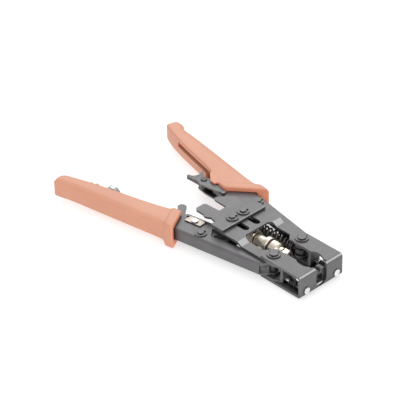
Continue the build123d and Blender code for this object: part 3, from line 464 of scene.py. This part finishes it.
# Grip sections: (s, w) of the inner side, (s, w) of the outer side, top, bottom, facet width
GRIP_TOP = 7.8
GRIP_BOTTOM = -6.4
FLANGE_TOP = 8.5
FLANGE_BOTTOM = -10.05
SECTIONS = {
    "grip_near": [
        (88.6, -6.1, 81.3, 13.9, 8.25, -9.2, 2.2),
        (89.2, -5.5, 82.0, 13.6, 8.0, -7.6, 3.0),
        (90.4, -4.9, 83.6, 13.45, 7.85, -6.6, 3.7),
        (95.0, -4.1, 90.5, 13.4, GRIP_TOP, GRIP_BOTTOM, 4.0),
        (103.0, -3.1, 101.0, 13.4, GRIP_TOP, GRIP_BOTTOM, 4.0),
        (114.0, -2.0, 113.5, 13.4, GRIP_TOP, GRIP_BOTTOM, 4.0),
        (130.0, -0.9, 130.0, 13.4, GRIP_TOP, GRIP_BOTTOM, 4.0),
        (147.0, 0.4, 147.0, 13.4, GRIP_TOP, GRIP_BOTTOM, 4.0),
        (158.0, 1.6, 158.0, 13.35, GRIP_TOP, GRIP_BOTTOM, 4.0),
        (166.0, 2.8, 166.0, 13.6, GRIP_TOP, GRIP_BOTTOM, 4.0),
        (172.0, 3.7, 172.2, 14.2, GRIP_TOP, GRIP_BOTTOM, 3.9),
        (175.1, 4.4, 175.9, 14.4, GRIP_TOP, GRIP_BOTTOM, 3.6),
        (176.8, 5.8, 177.7, 14.4, GRIP_TOP - 0.05, GRIP_BOTTOM + 0.05, 3.4),
    ],
    "grip_far": [
        (88.8, -6.9, 69.0, 16.0, 8.25, -9.2, 2.2),
        (89.6, -6.0, 71.0, 15.0, 8.0, -7.6, 3.0),
        (91.0, -5.1, 74.0, 14.1, 7.85, -6.6, 3.7),
        (95.0, -4.2, 82.0, 13.4, GRIP_TOP, GRIP_BOTTOM, 4.0),
        (103.0, -3.2, 98.0, 13.4, GRIP_TOP, GRIP_BOTTOM, 4.0),
        (114.0, -2.0, 112.5, 13.4, GRIP_TOP, GRIP_BOTTOM, 4.0),
        (130.0, -0.9, 130.0, 13.4, GRIP_TOP, GRIP_BOTTOM, 4.0),
        (147.0, 0.4, 147.0, 13.2, GRIP_TOP, GRIP_BOTTOM, 4.0),
        (155.0, 1.3, 155.0, 13.0, GRIP_TOP, GRIP_BOTTOM, 4.0),
        (160.5, 2.1, 160.0, 12.7, GRIP_TOP, GRIP_BOTTOM, 3.9),
        (163.6, 2.6, 163.2, 13.1, GRIP_TOP, GRIP_BOTTOM, 3.8),
        (166.4, 3.1, 165.6, 14.5, GRIP_TOP, GRIP_BOTTOM, 3.7),
        (170.0, 3.9, 169.0, 15.25, GRIP_TOP, GRIP_BOTTOM, 3.6),
        (173.9, 5.0, 173.6, 14.95, GRIP_TOP - 0.05, GRIP_BOTTOM + 0.05, 3.4),
    ],
}
MOUTH = {"grip_near": (81.3, -6.6, 74.0, 14.2), "grip_far": (81.5, -7.6, 60.6, 16.6)}
POCKET_W = (-4.6, 10.35)
POCKET_LEVEL = 5.05
POCKET_SLOPE = 0.19
POCKET_DEPTHS = (22.0, 6.0, 0.9, 0.35)
POCKET_CORNER = 0.03
END_RADIUS = 1.3
END_STEPS = 5
BLEND_STEPS = 4
FACET_DROP = 1.2
FULL_FACET = 3.0

# Flange behind the mouth: (depth, how far the skin is drawn in)
FLANGE_STEPS = ((0.0, 1.1), (0.12, 0.55), (0.5, 0.15), (1.1, 0.0), (3.5, 0.0), (6.6, 0.05))
FLANGE_FACET = 1.6

# Blocks cut from a grip or joined to it: (outline in s and w, low level, high level)
FAR_SLOT = ([(112.0, -9.0), (112.6, 7.0), (153.4, 7.0), (153.4, -9.0)], 1.1, 5.2)
FAR_LATCH_RECESS = (
    [(90.6, -12.0), (92.2, -1.0), (107.0, 2.0), (112.8, 2.0), (112.8, -12.0)],
    -5.0,
    5.2,
)
FAR_TAB_SLIT = ([(82.8, -12.0), (82.8, -0.6), (93.0, -0.6), (93.0, -12.0)], -1.2, 1.2)
FAR_LIP = (
    [(87.0, -3.6), (87.0, -6.2), (90.0, -7.8), (90.3, -9.8), (94.6, -10.0), (102.3, -5.3), (104.5, -2.2)],
    6.4,
    7.72,
)
NEAR_TAB_SLIT = ([(83.2, -12.0), (83.2, 9.0), (93.4, 9.0), (93.4, -12.0)], -0.95, 0.95)


def catmull_rom(values, t):
    """Value between the middle two of four, on a smooth curve through them."""
    p, q, r, u = values
    square = (2 * p - 5 * q + 4 * r - u) * t * t
    cube = (3 * q - p - 3 * r + u) * t**3
    return 0.5 * (2 * q + (r - p) * t + square + cube)


def blended(stations, steps):
    """The stations, with smooth ones in between."""
    result = []
    count = len(stations)
    for index in range(count - 1):
        a, b, c, d = (stations[min(max(index + k, 0), count - 1)] for k in (-1, 0, 1, 2))
        for step in range(steps):
            t = step / steps
            result.append(tuple(catmull_rom(values, t) for values in zip(a, b, c, d)))
    result.append(stations[-1])
    return result


def grip_ring(side, section, inset):
    """One ring of a grip's skin, drawn in from the section's outline by the inset."""
    s_in, w_in, s_out, w_out, top, bottom, facet = section
    inner = Vector((s_in, w_in))
    across = Vector((s_out, w_out)) - inner
    width = across.length
    across.normalize()
    high = top - inset
    low = bottom + inset
    end = width - inset
    drop = FACET_DROP + max(0, FULL_FACET - facet) * 0.5
    corners = [
        (inset, high, 1.6),
        (end - facet, high, 0.9),
        (end, high - drop, 0.8),
        (end, low + drop, 0.8),
        (end - facet, low, 0.9),
        (inset, low, 2.8),
    ]
    ring = []
    for c, level in rounded_ring(corners):
        spot = inner + across * c
        ring.append(on_lever(side, spot.x, spot.y, level))
    return ring


def pocket_ring(side, name, depth):
    """One ring of the hollow that takes the lever, at a depth behind the mouth."""
    s_in, w_in, s_out, w_out = MOUTH[name]
    inner = Vector((s_in, w_in))
    across = Vector((s_out, w_out)) - inner
    low_w, high_w = POCKET_W
    low_c = (low_w + POCKET_SLOPE * depth - w_in) / (w_out - w_in)
    high_c = (high_w - w_in) / (w_out - w_in)
    middle_c = (low_c + high_c) / 2
    corners = [
        (low_c, POCKET_LEVEL, POCKET_CORNER),
        (middle_c, POCKET_LEVEL, POCKET_CORNER),
        (high_c, POCKET_LEVEL, POCKET_CORNER),
        (high_c, -POCKET_LEVEL, POCKET_CORNER),
        (middle_c, -POCKET_LEVEL, POCKET_CORNER),
        (low_c, -POCKET_LEVEL, POCKET_CORNER),
    ]
    ring = []
    for c, level in rounded_ring(corners):
        spot = inner + across * c
        ring.append(on_lever(side, spot.x + depth, spot.y, level))
    return ring


def skin(bm, rings):
    """Quads between successive rings of vertices; returns the rings' vertices."""
    rows = [[bm.verts.new(point) for point in ring] for ring in rings]
    for first, second in zip(rows, rows[1:]):
        for index in range(len(first)):
            after = (index + 1) % len(first)
            bm.faces.new((first[index], first[after], second[after], second[index]))
    return rows


def close_ends(bm, rows):
    """Cap the first and last rings, and turn every face outward."""
    for row in (rows[0], rows[-1]):
        bm.faces.new(row)
    bmesh.ops.recalc_face_normals(bm, faces=bm.faces)


def make_grip(name, side, finish):
    """A hollow moulded grip with a flange round its mouth and a squared, bulging end."""
    s_in, w_in, s_out, w_out = MOUTH[name]
    rings = [pocket_ring(side, name, depth) for depth in POCKET_DEPTHS]
    for depth, inset in FLANGE_STEPS:
        section = (s_in + depth, w_in, s_out + depth, w_out, FLANGE_TOP, FLANGE_BOTTOM, FLANGE_FACET)
        rings.append(grip_ring(side, section, inset))
    for section in blended(SECTIONS[name], BLEND_STEPS):
        rings.append(grip_ring(side, section, 0.0))
    s_in, w_in, s_out, w_out, top, bottom, facet = SECTIONS[name][-1]
    for step in range(1, END_STEPS + 1):
        angle = math.radians(90 / END_STEPS * step)
        reach = END_RADIUS * math.sin(angle)
        inset = END_RADIUS * (1 - math.cos(angle))
        section = (s_in + reach, w_in, s_out + reach, w_out, top, bottom, facet)
        rings.append(grip_ring(side, section, inset))
    bm = bmesh.new()
    rows = skin(bm, rings)
    close_ends(bm, rows)
    grip = mesh_object(name + "_moulding", bm)
    if name == "grip_far":
        carve(grip, prism(side, *FAR_SLOT))
        carve(grip, prism(side, *FAR_LATCH_RECESS))
        carve(grip, prism(side, *FAR_TAB_SLIT))
        # lip of the top wall, over the latch
        carve(grip, prism(side, *FAR_LIP), "UNION")
    else:
        carve(grip, prism(side, *NEAR_TAB_SLIT))
    grip.data.set_sharp_from_angle(angle=math.radians(32))
    edge = grip.modifiers.new("edge", "BEVEL")
    edge.width = 0.25 * MM
    edge.segments = 2
    edge.limit_method = "ANGLE"
    edge.angle_limit = math.radians(50)
    grip.data.materials.append(finish)
    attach(grip, name.replace("grip", "lever"))
    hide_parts(name)


def prism(side, outline, low, high):
    """Upright block over an outline in a lever's coordinates, between two levels."""
    bm = bmesh.new()
    rows = skin(bm, [[on_lever(side, s, w, level) for s, w in outline] for level in (low, high)])
    close_ends(bm, rows)
    return mesh_object("block", bm, smooth=False)


def carve(piece, block, operation="DIFFERENCE"):
    """Cut a piece with a closed block, or join the block to it, and drop the block."""
    cut = piece.modifiers.new("cut", "BOOLEAN")
    cut.operation = operation
    cut.solver = "EXACT"
    cut.object = block
    graph = bpy.context.evaluated_depsgraph_get()
    carved = bpy.data.meshes.new_from_object(piece.evaluated_get(graph))
    piece.modifiers.remove(cut)
    spent = (piece.data, block.data)
    piece.data = carved
    bpy.data.objects.remove(block)
    for mesh in spent:
        bpy.data.meshes.remove(mesh)


# Return spring: turns of wire, closed at both ends, on its guide rod
SPRING_R = 3.15 * MM
SPRING_WIRE_R = 0.7 * MM
SPRING_TURNS = 9.5
RINGS_PER_TURN = 40
WIRE_CORNERS = 12
END_CROWDING = 0.045


def make_return_spring(finish):
    """A helix of round wire on the head, in the return spring's place."""
    low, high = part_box("return_spring")
    centre = (low + high) / 2
    start = low.x + SPRING_WIRE_R
    length = high.x - low.x - 2 * SPRING_WIRE_R
    bm = bmesh.new()
    rings = []
    count = int(SPRING_TURNS * RINGS_PER_TURN)
    for index in range(count + 1):
        t = index / count
        # the end turns lie closer together
        share = t - END_CROWDING * math.sin(2 * math.pi * t)
        angle = 2 * math.pi * t * SPRING_TURNS
        outward = Vector((0, math.cos(angle), math.sin(angle)))
        middle = Vector((start + length * share, centre.y, centre.z)) + outward * SPRING_R
        ring = []
        for corner in range(WIRE_CORNERS):
            around = 2 * math.pi * corner / WIRE_CORNERS
            spoke = outward * math.cos(around) + Vector((1, 0, 0)) * math.sin(around)
            ring.append(middle + spoke * SPRING_WIRE_R)
        rings.append(ring)
    rows = skin(bm, rings)
    close_ends(bm, rows)
    spring = mesh_object("return_spring_coil", bm)
    spring.data.set_sharp_from_angle(angle=math.radians(50))
    spring.data.materials.append(finish)
    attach(spring, "head")
    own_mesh(spring)
    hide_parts("return_spring")


make_camera()
make_studio()
finishes = make_materials()
dress_cad(finishes)
make_grip("grip_near", -1, finishes["orange_grip"])
make_grip("grip_far", 1, finishes["orange_grip"])
make_return_spring(finishes["spring_wire"])

bpy.context.scene.view_settings.view_transform = "Standard"
